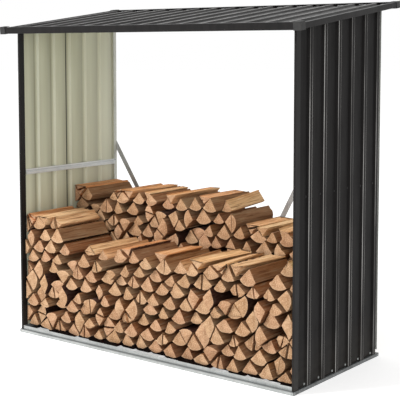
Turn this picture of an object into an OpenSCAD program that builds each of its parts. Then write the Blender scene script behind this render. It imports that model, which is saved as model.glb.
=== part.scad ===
// Open-fronted sheet-metal log store with a mono-pitch roof, holding two stacks of split firewood.
// Millimetres. X runs along the width, Y from front to back, Z up.
// The origin is on the ground, under the middle of the roof.

/* [Overall] */
// Width over the base rails
base_w = 1530; // [1000:1:2200]
// Depth over the base rails
base_d = 685; // [560:1:900]
// Height of the front fascia's lower edge
eave_h = 1400; // [1150:1:1900]
// Roof overhang past the base rails, the same on all four sides
overhang = 52; // [40:1:90]
// Slope of the roof in degrees, rising to the back
roof_slope = 7.8; // [4:0.1:12]

/* [Base rails] */
// Thickness of the rolled rails
rail_t = 1.5; // [1:0.1:2.5]
// Height of the rail's upright web
rail_h = 30; // [24:1:45]
// Height of the ledge that the wall sheets stand on
ledge_h = 14; // [8:1:20]
// Width of that ledge, from the rail's outer face to its web
ledge_w = 12; // [12:0.5:20]
// Width of the flange that lies on the ground
foot_w = 20; // [16:1:40]

/* [Sheets] */
// Thickness of the profiled sheet
sheet_t = 1.2; // [0.8:0.1:1.6]
// Distance between two ribs
rib_pitch = 106.5; // [80:0.5:140]
// Width of a rib at its foot
rib_foot = 32; // [24:1:40]
// Width of a rib at its crest
rib_crest = 18; // [10:1:22]
// Height of a wall rib
wall_rib_h = 8.5; // [5:0.5:9]
// Height of a roof rib
roof_rib_h = 8; // [5:0.5:12]
// Distance from the back edge of a wall to its last rib
wall_rib_edge = 23; // [21:0.5:50]
// Ribs of a wall on its front sheet, which also laps over the next rib
wall_front_ribs = 2; // [1:1:3]
// Ribs on each roof sheet but the right-hand one, which has one fewer
roof_sheet_ribs = 4; // [3:1:5]
// Width by which one roof sheet laps the next
roof_lap_w = 22; // [12:1:30]
// Distance from the edge of that lap to the first rib beside it
roof_lap_edge = 38; // [22:1:40]

/* [Posts and rails] */
// Thickness of the post and trim sheet
post_t = 1.2; // [0.8:0.1:2]
// Depth of a front post along the wall
front_post_d = 30; // [20:1:45]
// Set-back of a front post's face from the base rail's outer face
front_post_inset = 9; // [6:0.5:10]
// Depth of a rear post along the wall
rear_post_d = 20; // [16:1:26]
// Height of the middle rail's underside
mid_rail_z = 745; // [730:1:900]
// Height of the middle rail's section
mid_rail_h = 25; // [18:1:40]
// Height of the step at the bottom of that section
mid_rail_step = 11; // [6:1:14]
// Depth of the middle rail's section
mid_rail_d = 8; // [5:0.5:12]
// Depth of the front and rear top rails
top_rail_d = 24; // [16:1:36]
// Height of the front top rail
front_top_rail_h = 13; // [10:1:14]
// Height of the rear top rail
rear_top_rail_h = 30; // [16:1:40]
// Height of the left and right top rails
side_top_rail_h = 22; // [16:1:30]
// Width of the left and right top rails
side_top_rail_w = 18; // [12:1:30]

/* [Rear braces] */
// Width of a brace
brace_w = 25; // [16:1:32]
// Thickness of a brace
brace_t = 2; // [1.5:0.1:3]
// Height of the left brace on its post
left_brace_top = 845; // [700:1:1000]
// Distance from the left of the base to the left brace's foot
left_brace_foot = 560; // [300:1:700]
// Height of the right brace on its post
right_brace_top = 1473; // [1000:1:1480]
// Distance from the right of the base to the right brace's foot
right_brace_foot = 788; // [500:1:900]

/* [Roof trims] */
// Height of the front fascia
fascia_h = 30; // [26:1:45]
// Depth of the fascia's top flange
fascia_lip = 14; // [8:1:24]
// Height of a verge trim
verge_h = 23; // [20:1:30]
// Width of the flange on top of a verge trim
verge_lip = 20; // [12:1:24]
// Height of the verge trims over the front fascia's lower edge
verge_low = 2; // [0:0.5:4]
// Height of the sheets' underside over the fascia's lower edge
sheet_seat = 14; // [12:1:16]
// Side of a corner cap
cap_side = 34; // [26:1:50]
// Wall of a corner cap
cap_t = 2; // [1.5:0.1:3]

/* [Firewood] */
// Width of a log
log_w = 84; // [60:1:110]
// Height from one row of logs to the next; each row lies in the notches of the row below
row_h = 52; // [36:0.5:60]
// Height of the logs of the first row
first_row_h = 66; // [50:1:90]
// Rows in the front stack
front_rows = 8; // [7:1:11]
// Rows at the left end of the front stack
left_end_rows = 10; // [7:1:13]
// Rows at the right end of the front stack
right_end_rows = 9; // [7:1:13]
// Width of the left end of the front stack
left_end_w = 270; // [150:1:450]
// Width of the right end of the front stack
right_end_w = 110; // [80:1:300]
// Rows in the rear stack
rear_rows = 12; // [10:1:14]
// Rows at the right end of the rear stack
rear_end_rows = 10; // [10:1:14]
// Width of the right end of the rear stack
rear_end_w = 500; // [200:1:700]
// Width of the thin splits on the ground
ground_split_w = 87; // [60:1:120]
// Distance from the front of the base to the front logs
front_stack_y = 22; // [22:1:40]
// Distance from the rear logs to the back of the base
rear_stack_y = 17; // [17:1:40]
// Space between the two stacks
stack_gap = 10; // [6:1:60]
// Seed of the logs' uneven shapes
log_seed = 19; // [1:1:99]

/* [Hidden] */

dark = [0.17, 0.17, 0.175];
zinc = [0.72, 0.74, 0.74];
wood = [0.80, 0.62, 0.42];

// Clearance between pieces that lie against each other
clear = 0.2;
// Clearance at the ends of pieces that fit between others
end_clear = 0.3;
// Overshoot of a cut past the face that it opens
cut = 1;

half_w = base_w / 2;
half_d = base_d / 2;
roof_w = base_w + 2 * overhang;
roof_d = base_d + 2 * overhang;

// Roof frame: origin at the front lower edge, s up the slope, n square to the sheets.
// The corner caps stand proud of the trims by their wall, and by this much above and below.
cap_play = 2;
cap_top_n = fascia_h + cap_play;
roof_y0 = -roof_d / 2 + cap_top_n * sin(roof_slope);
roof_l = (roof_d - (cap_top_n + cap_play) * sin(roof_slope)) / cos(roof_slope);
trim_x = roof_w / 2 - cap_t;
trim_s0 = cap_t;
trim_s1 = roof_l - cap_t;
sheet_x = trim_x - post_t - end_clear;

// Height of the sheets' underside above the ground at a given y
function seat_z(y) = eave_h + (y - roof_y0) * tan(roof_slope) + sheet_seat / cos(roof_slope);
// Distance up the slope of a given y, at the sheets' underside
function slope_s(y) = (y - roof_y0 + sheet_seat * sin(roof_slope)) / cos(roof_slope);

// Wall sheets lie against the rail webs
wall_in_x = half_w - ledge_w;
wall_pan_x = wall_in_x + clear / 2;
post_out_x = half_w - ledge_w / 4;
front_face_y = -half_d + front_post_inset;
rear_face_y = half_d - ledge_w;
wall_y0 = front_face_y + post_t + end_clear;
wall_y1 = rear_face_y - post_t - end_clear;
front_post_y1 = front_face_y + front_post_d;
rear_post_y0 = rear_face_y - rear_post_d;
// Posts and sheets are made this tall and then cut off under the roof
uncut_h = 2 * eave_h;

// ---------- profiled sheets ----------

// Height of a sheet that lies on another
lap_rise = sheet_t + clear;

// Path across one sheet from a, with ribs at the given centres, ending in the given points
function sheet_path(a, ribs, rib_h, ending) = concat(
    [[a, 0]],
    [for (c = ribs) each [
        [c - rib_foot / 2, 0], [c - rib_crest / 2, rib_h],
        [c + rib_crest / 2, rib_h], [c + rib_foot / 2, 0]]],
    ending);

// Endings: a cut edge at b, a flat lap with its edge at b, and a lap over the rib at c
function cut_edge(b) = [[b, 0]];
function flat_lap(b) = [
    [b - roof_lap_w - 2 * sheet_t, 0], [b - roof_lap_w, lap_rise], [b, lap_rise]];
function rib_lap(c, rib_h) =
    let (run = (rib_foot - rib_crest) / 2 * lap_rise / rib_h)
    [[c - rib_foot / 2 - run, 0], [c - rib_crest / 2, rib_h + lap_rise],
        [c + rib_crest / 2, rib_h + lap_rise]];

module sheet_section(a, ribs, rib_h, ending) {
    path = sheet_path(a, ribs, rib_h, ending);
    back = [for (i = [len(path) - 1:-1:0]) path[i] + [0, sheet_t]];
    polygon(concat(path, back));
}

// ---------- base ----------

// Rolled rail: foot on the ground, ledge for the sheets, upright web
module rail_section() {
    polygon([
        [0, 0], [foot_w, 0], [foot_w, rail_t], [rail_t, rail_t],
        [rail_t, ledge_h - rail_t], [ledge_w + rail_t, ledge_h - rail_t],
        [ledge_w + rail_t, rail_h], [ledge_w, rail_h], [ledge_w, ledge_h], [0, ledge_h]]);
}

// A rail along X with its outer face at y = 0, mitred at both ends
module base_rail(l) {
    color(zinc)
    intersection() {
        translate([-l / 2, 0, 0])
            rotate([90, 0, 90])
            linear_extrude(height = l)
            rail_section();
        translate([0, 0, -cut])
            linear_extrude(height = rail_h + 2 * cut)
            polygon([
                [-l / 2 + clear / 2, 0], [l / 2 - clear / 2, 0],
                [l / 2 - foot_w - clear / 2, foot_w], [-l / 2 + foot_w + clear / 2, foot_w]]);
    }
}

module base_rail_front() {
    translate([0, -half_d, 0])
        base_rail(base_w);
}

module base_rail_rear() {
    rotate([0, 0, 180])
        base_rail_front();
}

module base_rail_right() {
    translate([half_w, 0, 0])
        rotate([0, 0, 90])
        base_rail(base_d);
}

module base_rail_left() {
    rotate([0, 0, 180])
        base_rail_right();
}

// ---------- walls, made on the right and mirrored to the left ----------

module left_side() {
    mirror([1, 0, 0])
        children();
}

// Everything under the roof sheets, from a given height up
module under_roof(z0) {
    y0 = -half_d;
    y1 = half_d;
    rotate([90, 0, 90])
        translate([0, 0, -half_w])
        linear_extrude(height = base_w)
        polygon([
            [y0, z0], [y1, z0],
            [y1, seat_z(y1) - clear], [y0, seat_z(y0) - clear]]);
}

// Front post: a trim folded round the sheets' front edge
module right_front_post_solid() {
    color(dark)
    intersection() {
        difference() {
            linear_extrude(height = uncut_h)
                difference() {
                    translate([wall_in_x - post_t, front_face_y])
                        square([post_out_x - wall_in_x + post_t, front_post_d]);
                    translate([wall_in_x, front_face_y + post_t])
                        square([post_out_x - wall_in_x - post_t, front_post_d]);
                }
            // The inner leg stops on top of the rail webs
            translate([wall_in_x - 2 * post_t, -half_d + ledge_w - clear, 0])
                cube([2 * post_t + clear / 2, front_post_d, rail_h + clear]);
        }
        under_roof(ledge_h + clear);
    }
}

// Rear post: an angle inside the sheets' rear edge
module right_rear_post_solid() {
    color(zinc)
    intersection() {
        linear_extrude(height = uncut_h)
            union() {
                translate([wall_in_x - post_t, rear_post_y0])
                    square([post_t, rear_post_d]);
                translate([wall_in_x - post_t, rear_face_y - post_t])
                    square([post_out_x - wall_in_x + post_t, post_t]);
            }
        under_roof(rail_h + clear);
    }
}

module front_right_post() {
    right_front_post_solid();
}

module front_left_post() {
    left_side() right_front_post_solid();
}

module rear_right_post() {
    right_rear_post_solid();
}

module rear_left_post() {
    left_side() right_rear_post_solid();
}

// Ribs are set out from the rear edge of the wall
wall_rib_count = floor((wall_y1 - wall_rib_edge - front_post_y1 - rib_foot / 2) / rib_pitch) + 1;
wall_ribs = [for (i = [wall_rib_count - 1:-1:0]) wall_y1 - wall_rib_edge - i * rib_pitch];

module wall_sheet(a, ribs, ending) {
    color(dark)
    intersection() {
        translate([wall_pan_x, 0, 0])
            mirror([1, -1, 0])
            linear_extrude(height = uncut_h)
            sheet_section(a, ribs, wall_rib_h, ending);
        under_roof(ledge_h + clear);
    }
}

module right_wall_sheet_front() {
    ribs = [for (i = [0:wall_front_ribs - 1]) wall_ribs[i]];
    wall_sheet(wall_y0, ribs, rib_lap(wall_ribs[wall_front_ribs], wall_rib_h));
}

// The rear sheet starts at the foot of the rib that the front sheet laps
module right_wall_sheet_rear() {
    ribs = [for (i = [wall_front_ribs + 1:wall_rib_count - 1]) wall_ribs[i]];
    c = wall_ribs[wall_front_ribs];
    crest = [[c - rib_crest / 2, wall_rib_h], [c + rib_crest / 2, wall_rib_h]];
    rest = sheet_path(c + rib_foot / 2, ribs, wall_rib_h, cut_edge(wall_y1));
    wall_sheet(c - rib_foot / 2, [], concat(crest, rest));
}

module left_wall_sheet_front() {
    left_side() right_wall_sheet_front();
}

module left_wall_sheet_rear() {
    left_side() right_wall_sheet_rear();
}

// Middle rail: stepped section along the inside of the wall, with a tab on the rear post
module right_mid_rail() {
    tab_short = 6;
    tab_l = rear_post_d - tab_short;
    y0 = front_post_y1 + end_clear;
    y1 = rear_post_y0 - end_clear;
    face_x = post_t + clear;
    color(zinc)
    translate([wall_in_x, 0, mid_rail_z])
        union() {
            translate([0, y1, 0])
                rotate([90, 0, 0])
                linear_extrude(height = y1 - y0)
                polygon([
                    [-clear, 0], [-mid_rail_d, 0], [-mid_rail_d, mid_rail_step],
                    [-face_x - post_t, mid_rail_step], [-face_x - post_t, mid_rail_h],
                    [-face_x, mid_rail_h], [-face_x, mid_rail_step - post_t],
                    [-mid_rail_d + post_t, mid_rail_step - post_t], [-mid_rail_d + post_t, post_t],
                    [-clear, post_t]]);
            translate([-face_x - post_t, y1 - cut, mid_rail_step - post_t])
                cube([post_t, tab_l + cut, mid_rail_h - mid_rail_step + post_t]);
        }
}

module left_mid_rail() {
    left_side() right_mid_rail();
}

// ---------- top rails ----------

// Puts its children in the roof frame
module on_slope() {
    translate([0, roof_y0, eave_h])
        rotate([roof_slope, 0, 0])
        children();
}

// Channel along X from s0, of depth d and height h, open downwards, against the sheets
module cross_rail(s0, d, h) {
    l = 2 * (wall_in_x - post_t - end_clear);
    color(zinc)
    on_slope()
        translate([-l / 2, s0, sheet_seat - clear - h])
        rotate([90, 0, 90])
        linear_extrude(height = l)
        difference() {
            square([d, h]);
            translate([rail_t, -cut])
                square([d - 2 * rail_t, h + cut - rail_t]);
        }
}

// Room for the slanted ends of the top rails beside the upright posts
slant_play = 4;
front_rail_s0 = slope_s(-half_d + ledge_w);
rear_rail_s1 = slope_s(rear_face_y - post_t - end_clear) - slant_play;

module front_top_rail() {
    cross_rail(front_rail_s0, top_rail_d, front_top_rail_h);
}

module rear_top_rail() {
    cross_rail(rear_rail_s1 - top_rail_d, top_rail_d, rear_top_rail_h);
}

// Channel along the wall's top edge, between the front and rear top rails
module right_top_rail() {
    s0 = slope_s(front_post_y1) + slant_play;
    s1 = rear_rail_s1 - top_rail_d - end_clear;
    color(zinc)
    on_slope()
        translate([wall_in_x - clear, s1, sheet_seat - clear - side_top_rail_h])
        rotate([90, 0, 0])
        linear_extrude(height = s1 - s0)
        mirror([1, 0])
        difference() {
            square([side_top_rail_w, side_top_rail_h]);
            translate([rail_t, -cut])
                square([side_top_rail_w - 2 * rail_t, side_top_rail_h + cut - rail_t]);
        }
}

module left_top_rail() {
    left_side() right_top_rail();
}

// ---------- roof ----------

// Ribs are set out from the right-hand edge of the roof
roof_rib_count = floor((roof_w - verge_lip - rib_foot / 2) / rib_pitch);
function roof_rib_x(k) = roof_w / 2 - k * rib_pitch;
// Ribs k to k + n - 1, from left to right
function roof_ribs(k, n) = [for (i = [k + n - 1:-1:k]) if (i <= roof_rib_count) roof_rib_x(i)];
// Edge of the lap to the left of rib k, and the start of the sheet under that lap
function lap_x(k) = roof_rib_x(k) - rib_foot / 2 - roof_lap_edge;
function under_lap_x(k) = lap_x(k) - roof_lap_w + end_clear;

module roof_sheet(a, ribs, ending) {
    color(dark)
    on_slope()
        translate([0, trim_s1, sheet_seat])
        rotate([90, 0, 0])
        linear_extrude(height = trim_s1 - trim_s0 - post_t - end_clear)
        sheet_section(a, ribs, roof_rib_h, ending);
}

// Last rib of sheets 4, 3 and 2, counted from the right
last_rib = [roof_sheet_ribs - 1, 2 * roof_sheet_ribs - 1, 3 * roof_sheet_ribs - 1];

module roof_sheet_4() {
    ribs = roof_ribs(1, last_rib[0]);
    roof_sheet(under_lap_x(last_rib[0]), ribs, cut_edge(sheet_x));
}

module roof_sheet_3() {
    ribs = roof_ribs(last_rib[0] + 1, roof_sheet_ribs);
    roof_sheet(under_lap_x(last_rib[1]), ribs, flat_lap(lap_x(last_rib[0])));
}

module roof_sheet_2() {
    ribs = roof_ribs(last_rib[1] + 1, roof_sheet_ribs);
    roof_sheet(under_lap_x(last_rib[2]), ribs, flat_lap(lap_x(last_rib[1])));
}

// The left-hand sheet takes all the ribs that are left
module roof_sheet_1() {
    ribs = roof_ribs(last_rib[2] + 1, roof_rib_count - last_rib[2]);
    roof_sheet(-sheet_x, ribs, flat_lap(lap_x(last_rib[2])));
}

// Front fascia: web in front of the sheets' ends, flanges over and under them
module front_fascia() {
    l = 2 * trim_x;
    color(dark)
    on_slope()
        translate([-l / 2, trim_s0, 0])
        rotate([90, 0, 90])
        linear_extrude(height = l)
        polygon([
            [0, 0], [fascia_lip, 0], [fascia_lip, post_t], [post_t, post_t],
            [post_t, fascia_h - post_t], [fascia_lip, fascia_h - post_t],
            [fascia_lip, fascia_h], [0, fascia_h]]);
}

// Rear fascia: web and flange under the sheets, whose rib ends stay open
module rear_fascia() {
    l = 2 * (trim_x - post_t - end_clear);
    top = sheet_seat - clear;
    color(dark)
    on_slope()
        translate([-l / 2, trim_s1, 0])
        rotate([90, 0, 90])
        linear_extrude(height = l)
        polygon([
            [0, 0], [0, top], [-fascia_lip, top], [-fascia_lip, top - post_t],
            [-post_t, top - post_t], [-post_t, 0]]);
}

// Verge trim: folded round the side edge of the roof sheets
module right_verge_trim() {
    s0 = trim_s0 + post_t + end_clear;
    s1 = trim_s1 - post_t - end_clear;
    color(dark)
    on_slope()
        translate([trim_x, s1, verge_low])
        rotate([90, 0, 0])
        linear_extrude(height = s1 - s0)
        difference() {
            translate([-verge_lip, 0])
                square([verge_lip, verge_h]);
            translate([-verge_lip - cut, post_t])
                square([verge_lip + cut - post_t, verge_h - 2 * post_t]);
        }
}

module left_verge_trim() {
    left_side() right_verge_trim();
}

// Corner cap: a moulded box of height h with its outer corner at the origin, open inwards
module corner_cap(h) {
    wall = cap_t - clear / 2;
    skin = cap_play - clear;
    color(dark)
    difference() {
        translate([-cap_side, 0, 0])
            cube([cap_side, cap_side, h]);
        translate([-cap_side - cut, wall, skin])
            cube([cap_side + cut - wall, cap_side, h - 2 * skin]);
    }
}

module front_right_cap() {
    on_slope()
        translate([roof_w / 2, 0, -cap_play])
        corner_cap(fascia_h + 2 * cap_play);
}

module front_left_cap() {
    left_side() front_right_cap();
}

module rear_right_cap() {
    on_slope()
        translate([roof_w / 2, roof_l, -cap_play])
        mirror([0, 1, 0])
        corner_cap(verge_low + verge_h + 2 * cap_play);
}

module rear_left_cap() {
    left_side() rear_right_cap();
}

// ---------- rear braces ----------

// Flat strap between two points of the rear plane, kept above the ledge and inside the posts
module brace(x0, z0, x1, z1) {
    run = [x1 - x0, z1 - z0];
    l = norm(run);
    over = brace_w / 2;
    color(zinc)
    translate([0, rear_face_y + clear + brace_t, 0])
        rotate([90, 0, 0])
        linear_extrude(height = brace_t)
        intersection() {
            translate([x0, z0])
                rotate(atan2(run[1], run[0]))
                translate([-over, -brace_w / 2])
                square([l + 2 * over, brace_w]);
            translate([-post_out_x, ledge_h + clear])
                square([2 * post_out_x, eave_h]);
        }
}

brace_foot_z = (ledge_h + rail_h) / 2;
brace_head_x = wall_in_x + (post_out_x - wall_in_x) / 2;

module left_rear_brace() {
    brace(-brace_head_x, left_brace_top, -half_w + left_brace_foot, brace_foot_z);
}

module right_rear_brace() {
    brace(brace_head_x, right_brace_top, half_w - right_brace_foot, brace_foot_z);
}

// ---------- firewood ----------

// Two stacks fill the depth of the base, front to back. The logs of a row lie in the notches
// of the row below, so each has a place with a top, a left, a bottom and a right corner.
log_l = (base_d - front_stack_y - stack_gap - rear_stack_y) / 2;
front_logs_y = -half_d + front_stack_y;
rear_logs_y = front_logs_y + log_l + stack_gap;
// Play at the sides of the stacks
side_play = 0.5;
log_x = wall_in_x - post_t - side_play;
log_count = round(2 * log_x / log_w);
place_w = 2 * log_x / log_count;
stack_z = rail_h + clear;
// Most that a corner is moved along X and Z
jitter_x = 0.12 * log_w;
jitter_z = 0.17 * row_h;
// Most that a log stands back from the front of its stack
front_jitter = 20;
// Most that a log stops short of the rear of its stack
rear_jitter = 9;
// Each log is this much smaller than its place, and its bark is rounded by about this much
gap_scale = 0.992;
bark_round = 1.04;
bark_vary = 0.05;
// Share of the logs that lie with the heart on top
heart_top_share = 0.66;
// Share of the logs that lie with the heart at a side
heart_side_share = 0.24;
// Share of the logs left out of a stack's top row
top_gap_share = 0.25;
// Share of the notches of the top row that hold a log
topping_share = 0.6;

// A fixed random number from 0 to 1 for a place; the factors keep the seeds apart
function uneven(stack, row, i, salt) =
    rands(0, 1, 1, log_seed * 7919 + stack * 3571 + row * 271 + i * 31 + salt * 1013)[0];
function jitter(stack, level, i, salt) = 2 * uneven(stack, level, i, salt) - 1;

// Corner i of a level; the corners of odd levels run from wall to wall
function plain_x(level, i) = -log_x + (i + (level % 2 == 0 ? 0.5 : 0)) * place_w;
function at_wall(level, i) = level % 2 == 1 && (i == 0 || i == log_count);
function corner(stack, level, i) = [
    plain_x(level, i) + (at_wall(level, i) ? 0 : jitter_x * jitter(stack, level, i, 1)),
    stack_z + first_row_h + (level - 2) * row_h + jitter_z * jitter(stack, level, i, 2)];

// Point where the way from corner a down to corner b meets the ground splits
function on_splits(a, b) = a + (b - a) * (a[1] - stack_z) / (a[1] - b[1]);

// Corners of a place, from the top one down the left side
function place(stack, row, i) =
    let (
        top = corner(stack, row + 2, i),
        left = corner(stack, row + 1, i - row % 2),
        bottom = corner(stack, row, i),
        right = corner(stack, row + 1, i + 1 - row % 2)
    )
    row == 0 ? [top, left, on_splits(left, bottom), on_splits(right, bottom), right]
    : row % 2 == 1 && i == 0 ? [top, bottom, right]
    : row % 2 == 1 && i == log_count ? [top, left, bottom]
    : [top, left, bottom, right];

// How far a ray from p at angle a goes to the line through u and v
function to_line(p, a, u, v) = cross(u - p, v - u) / cross([cos(a), sin(a)], v - u);

// Wedge in a place: the heart is corner h, and the bark is an arc round it
function wedge(corners, h, round_by) =
    let (
        n = len(corners),
        p = corners[h], q = corners[(h + 1) % n], r = corners[(h + n - 1) % n],
        bark_r = round_by * max(norm(q - p), norm(r - p)),
        a0 = atan2(q[1] - p[1], q[0] - p[0]),
        a1 = atan2(r[1] - p[1], r[0] - p[0]),
        turn = (a1 - a0 + 540) % 360 - 180,
        steps = 7
    )
    concat([p], [for (i = [0:steps])
        let (
            a = a0 + turn * i / steps,
            reach = min([bark_r, for (k = [1:n - 2])
                let (t = to_line(p, a, corners[(h + k) % n], corners[(h + k + 1) % n]))
                if (t > 0) t])
        )
        p + reach * [cos(a), sin(a)]]);

function shrunk(points) =
    let (c = [for (k = [0, 1]) sum_of([for (p = points) p[k]]) / len(points)])
    [for (p = points) c + gap_scale * (p - c)];
function sum_of(v, i = 0) = i < len(v) ? v[i] + sum_of(v, i + 1) : 0;

// Whether a stack is as high as a row at x; a higher part steps in by half a place on each row
function has_row(stack, row, x) =
    let (step = place_w / 2)
    stack == 0
    ? row < front_rows
        || (row < left_end_rows && x < -half_w + left_end_w - (row - front_rows) * step)
        || (row < right_end_rows && x > half_w - right_end_w + (row - front_rows) * step)
    : row < rear_end_rows
        || (row < rear_rows && x < half_w - rear_end_w - (row - rear_end_rows) * step);
function is_top(stack, row, x) =
    !has_row(stack, row + 1, x - place_w / 2) && !has_row(stack, row + 1, x + place_w / 2);

function heart_corner(u, n) =
    u < heart_top_share ? 0
    : u < heart_top_share + heart_side_share / 2 ? 1
    : u < heart_top_share + heart_side_share ? n - 1
    : 2;

// Whether a place holds a log; a few of those in the top row are left out
function is_full(stack, row, i) =
    let (x = plain_x(row, i))
    has_row(stack, row, x)
        && !(is_top(stack, row, x) && uneven(stack, row, i, 7) < top_gap_share);
// Whether a log lies heart down, with its broad side up, between two logs of the top row
function is_topping(stack, row, i) =
    !has_row(stack, row, plain_x(row, i))
        && !at_wall(row, i)
        && is_full(stack, row - 1, i - row % 2)
        && is_full(stack, row - 1, i + 1 - row % 2)
        && uneven(stack, row, i, 8) < topping_share;

module log(corners, heart, round_by, y0, y1) {
    translate([0, y1, 0])
        rotate([90, 0, 0])
        linear_extrude(height = y1 - y0)
        polygon(shrunk(wedge(corners, heart, round_by)));
}

// The logs of some rows of one stack, whose front ends are near y0
module logs(stack, y0, first, last) {
    color(wood)
    for (row = [first:last], i = [0:log_count - 1 + row % 2]) {
        corners = place(stack, row, i);
        top = is_top(stack, row, plain_x(row, i));
        heart = row == 0 || top ? 0 : heart_corner(uneven(stack, row, i, 3), len(corners));
        round_by = bark_round + bark_vary * jitter(stack, row, i, 4);
        log_y0 = y0 + front_jitter * pow(uneven(stack, row, i, 5), 2);
        log_y1 = y0 + log_l - rear_jitter * uneven(stack, row, i, 6);
        if (is_full(stack, row, i))
            log(corners, heart, round_by, log_y0, log_y1);
        if (is_topping(stack, row, i))
            log([corners[1], corners[2], corners[3]], 1, round_by, log_y0, log_y1);
    }
}

// Thin splits laid on the ground under a stack, as high as the rail webs
module ground_splits(y0) {
    x1 = half_w - foot_w - side_play;
    n = round(2 * x1 / ground_split_w);
    w = 2 * x1 / n;
    top = rail_h - clear;
    shoulder = 0.7 * top;
    split_l = log_l - rear_jitter - cut;
    side = clear;
    low = 4;
    chamfer = 6;
    color(wood)
    for (i = [0:n - 1])
        translate([-x1 + i * w, y0 + split_l, 0])
            rotate([90, 0, 0])
            linear_extrude(height = split_l)
            polygon([
                [side, low], [chamfer, 0], [w - chamfer, 0], [w - side, low],
                [w - side, shoulder], [w - 2 * chamfer, top], [2 * chamfer, top],
                [side, shoulder]]);
}

module front_stack_bottom_logs() {
    ground_splits(front_logs_y);
    logs(0, front_logs_y, 0, 2);
}

module front_stack_middle_logs() {
    logs(0, front_logs_y, 3, 5);
}

module front_stack_top_logs() {
    logs(0, front_logs_y, 6, max(front_rows, left_end_rows, right_end_rows));
}

module rear_stack_bottom_logs() {
    ground_splits(rear_logs_y);
    logs(1, rear_logs_y, 0, 2);
}

module rear_stack_middle_logs() {
    logs(1, rear_logs_y, 3, 5);
}

module rear_stack_upper_logs() {
    logs(1, rear_logs_y, 6, 8);
}

module rear_stack_top_logs() {
    logs(1, rear_logs_y, 9, max(rear_rows, rear_end_rows));
}

base_rail_front();
base_rail_rear();
base_rail_left();
base_rail_right();
front_left_post();
front_right_post();
rear_left_post();
rear_right_post();
left_wall_sheet_front();
left_wall_sheet_rear();
right_wall_sheet_front();
right_wall_sheet_rear();
left_mid_rail();
right_mid_rail();
front_top_rail();
rear_top_rail();
left_top_rail();
right_top_rail();
roof_sheet_1();
roof_sheet_2();
roof_sheet_3();
roof_sheet_4();
front_fascia();
rear_fascia();
left_verge_trim();
right_verge_trim();
front_left_cap();
front_right_cap();
rear_left_cap();
rear_right_cap();
left_rear_brace();
right_rear_brace();
front_stack_bottom_logs();
front_stack_middle_logs();
front_stack_top_logs();
rear_stack_bottom_logs();
rear_stack_middle_logs();
rear_stack_upper_logs();
rear_stack_top_logs();
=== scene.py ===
import math
import random

import bmesh
import bpy
import numpy as np
from mathutils import Matrix, Vector


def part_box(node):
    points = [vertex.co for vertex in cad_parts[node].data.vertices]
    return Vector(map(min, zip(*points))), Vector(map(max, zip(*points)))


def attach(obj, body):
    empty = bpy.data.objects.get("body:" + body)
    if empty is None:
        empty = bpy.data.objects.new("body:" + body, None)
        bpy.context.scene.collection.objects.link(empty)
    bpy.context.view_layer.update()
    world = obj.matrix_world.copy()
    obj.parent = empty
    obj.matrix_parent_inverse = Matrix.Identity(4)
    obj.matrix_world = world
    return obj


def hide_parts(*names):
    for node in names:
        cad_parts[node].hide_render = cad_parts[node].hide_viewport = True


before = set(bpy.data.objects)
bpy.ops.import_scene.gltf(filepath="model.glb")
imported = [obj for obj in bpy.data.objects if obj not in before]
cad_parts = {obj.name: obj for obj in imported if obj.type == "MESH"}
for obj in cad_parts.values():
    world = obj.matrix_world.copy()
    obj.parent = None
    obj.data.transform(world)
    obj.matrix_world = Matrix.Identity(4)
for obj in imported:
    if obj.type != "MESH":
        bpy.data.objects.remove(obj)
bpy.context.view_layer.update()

# ---------------------------------------------------------------------------
# Base frame. Four rails rolled from galvanised strip: a foot on the ground, a
# ledge for the wall sheets and an upright web. Mitred and bolted at the corners.

MM = 0.001


def rgb(red, green, blue):
    """A colour as read off a swatch, 0 to 255, in the linear values that shaders take."""
    def linear(c):
        return ((c / 255 + 0.055) / 1.055) ** 2.4 if c > 10 else c / 3294.6
    return linear(red), linear(green), linear(blue), 1


def add(mat, kind, inputs=None, **settings):
    """A new shader node: sockets as inputs are linked, other values are set."""
    node = mat.node_tree.nodes.new("ShaderNode" + kind)
    for key, value in settings.items():
        setattr(node, key, value)
    for socket, value in (inputs or {}).items():
        if isinstance(value, bpy.types.NodeSocket):
            mat.node_tree.links.new(value, node.inputs[socket])
        else:
            node.inputs[socket].default_value = value
    return node


def noise(mat, vector, stretch, detail=2.0, rough=0.5):
    """Noise, 0 to 1, on a vector; stretch is how fine it is along each axis, per metre."""
    place = add(mat, "Mapping", {"Vector": vector, "Scale": stretch})
    return add(mat, "TexNoise", {"Vector": place.outputs[0], "Scale": 1.0, "Detail": detail,
                                 "Roughness": rough}).outputs[0]


def between(mat, value, low, high, a=0.0, b=1.0):
    """a up to low, b from high on, and a straight blend between."""
    return add(mat, "MapRange", {"Value": value, "From Min": low, "From Max": high,
                                 "To Min": a, "To Max": b}).outputs[0]


def blend(mat, share, a, b):
    """Two colours blended: a at a share of 0, b at 1."""
    return add(mat, "Mix", {0: share, 6: a, 7: b}, data_type="RGBA").outputs[2]


def maths(mat, operation, a, b=0.0):
    return add(mat, "Math", {0: a, 1: b}, operation=operation).outputs[0]


def coating(name, colour, roughness, height, depth, metallic=0.0, specular=0.5):
    """A material whose colour, roughness and bump height come from these functions of it."""
    mat = bpy.data.materials.new(name)
    mat.use_nodes = True
    shader = mat.node_tree.nodes["Principled BSDF"]
    shader.inputs["Metallic"].default_value = metallic
    shader.inputs["Specular IOR Level"].default_value = specular
    link = mat.node_tree.links.new
    link(colour(mat), shader.inputs["Base Color"])
    link(roughness(mat), shader.inputs["Roughness"])
    bump = add(mat, "Bump", {"Height": height(mat), "Distance": depth, "Strength": 1.0})
    link(bump.outputs[0], shader.inputs["Normal"])
    return mat


def where(mat):
    return add(mat, "TexCoord").outputs["Object"]


def place_on(mat, axis):
    return add(mat, "SeparateXYZ", {0: where(mat)}).outputs[axis]


def along(axis, slow, fast):
    """Noise scale that runs slow along one axis and fast across it."""
    return tuple(slow if a == axis else fast for a in "XYZ")


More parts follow.
